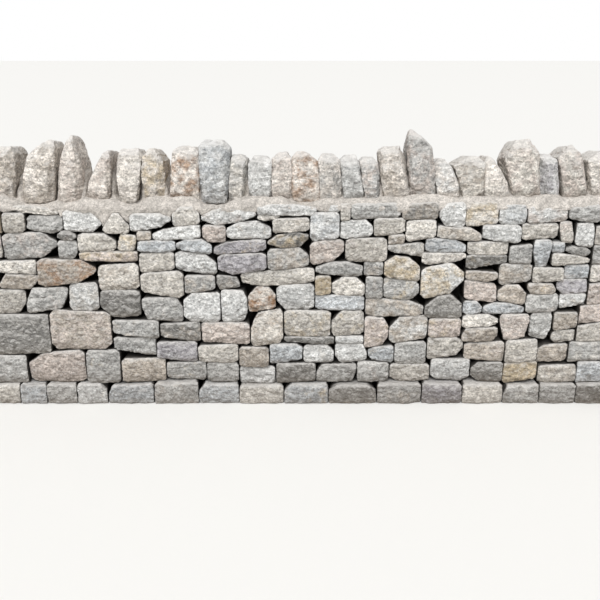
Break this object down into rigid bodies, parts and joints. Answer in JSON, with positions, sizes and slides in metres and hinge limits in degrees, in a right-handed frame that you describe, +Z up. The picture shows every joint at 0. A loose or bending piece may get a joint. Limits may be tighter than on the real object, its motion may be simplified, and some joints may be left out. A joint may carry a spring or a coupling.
{
  "type": "dry stone wall",
  "caption": "Free-standing dry stone wall: battered double faces of coursed rubble on footings, squared wall heads, a mortar bed and upright cope stones set on edge.",
  "frame": {"origin": "on the ground under the middle of the wall", "axes": "+X along the wall, -Y out of the front face, +Z up"},
  "size_m": [3.644, 0.6038, 1.3073],
  "materials": {
    "face_stone": "rough",
    "footing_stone": "rough",
    "cope_stone": "rough",
    "hearting_stone": "rough",
    "mortar": "floated"
  },
  "bodies": {
    "root": {"hearting": "hearting_stone", "left_head": "face_stone", "right_head": "face_stone", "front_footings": "footing_stone", "front_lift_1": "face_stone", "front_lift_2": "face_stone", "front_lift_3": "face_stone", "front_lift_4": "face_stone", "front_levelling_course": "face_stone", "back_footings": "footing_stone", "back_lift_1": "face_stone", "back_lift_2": "face_stone", "back_lift_3": "face_stone", "back_lift_4": "face_stone", "back_levelling_course": "face_stone", "mortar_bed": "mortar", "cope_stone_1": "cope_stone", "cope_stone_2": "cope_stone", "cope_stone_3": "cope_stone", "cope_stone_4": "cope_stone", "cope_stone_5": "cope_stone", "cope_stone_6": "cope_stone", "cope_stone_7": "cope_stone", "cope_stone_8": "cope_stone", "cope_stone_9": "cope_stone", "cope_stone_10": "cope_stone", "cope_stone_11": "cope_stone", "cope_stone_12": "cope_stone", "cope_stone_13": "cope_stone", "cope_stone_14": "cope_stone", "cope_stone_15": "cope_stone", "cope_stone_16": "cope_stone", "cope_stone_17": "cope_stone", "cope_stone_18": "cope_stone", "cope_stone_19": "cope_stone", "cope_stone_20": "cope_stone", "cope_stone_21": "cope_stone", "cope_stone_22": "cope_stone", "cope_stone_23": "cope_stone", "cope_stone_24": "cope_stone", "cope_stone_25": "cope_stone", "cope_stone_26": "cope_stone", "cope_stone_27": "cope_stone", "cope_stone_28": "cope_stone"}
  },
  "joints": []
}
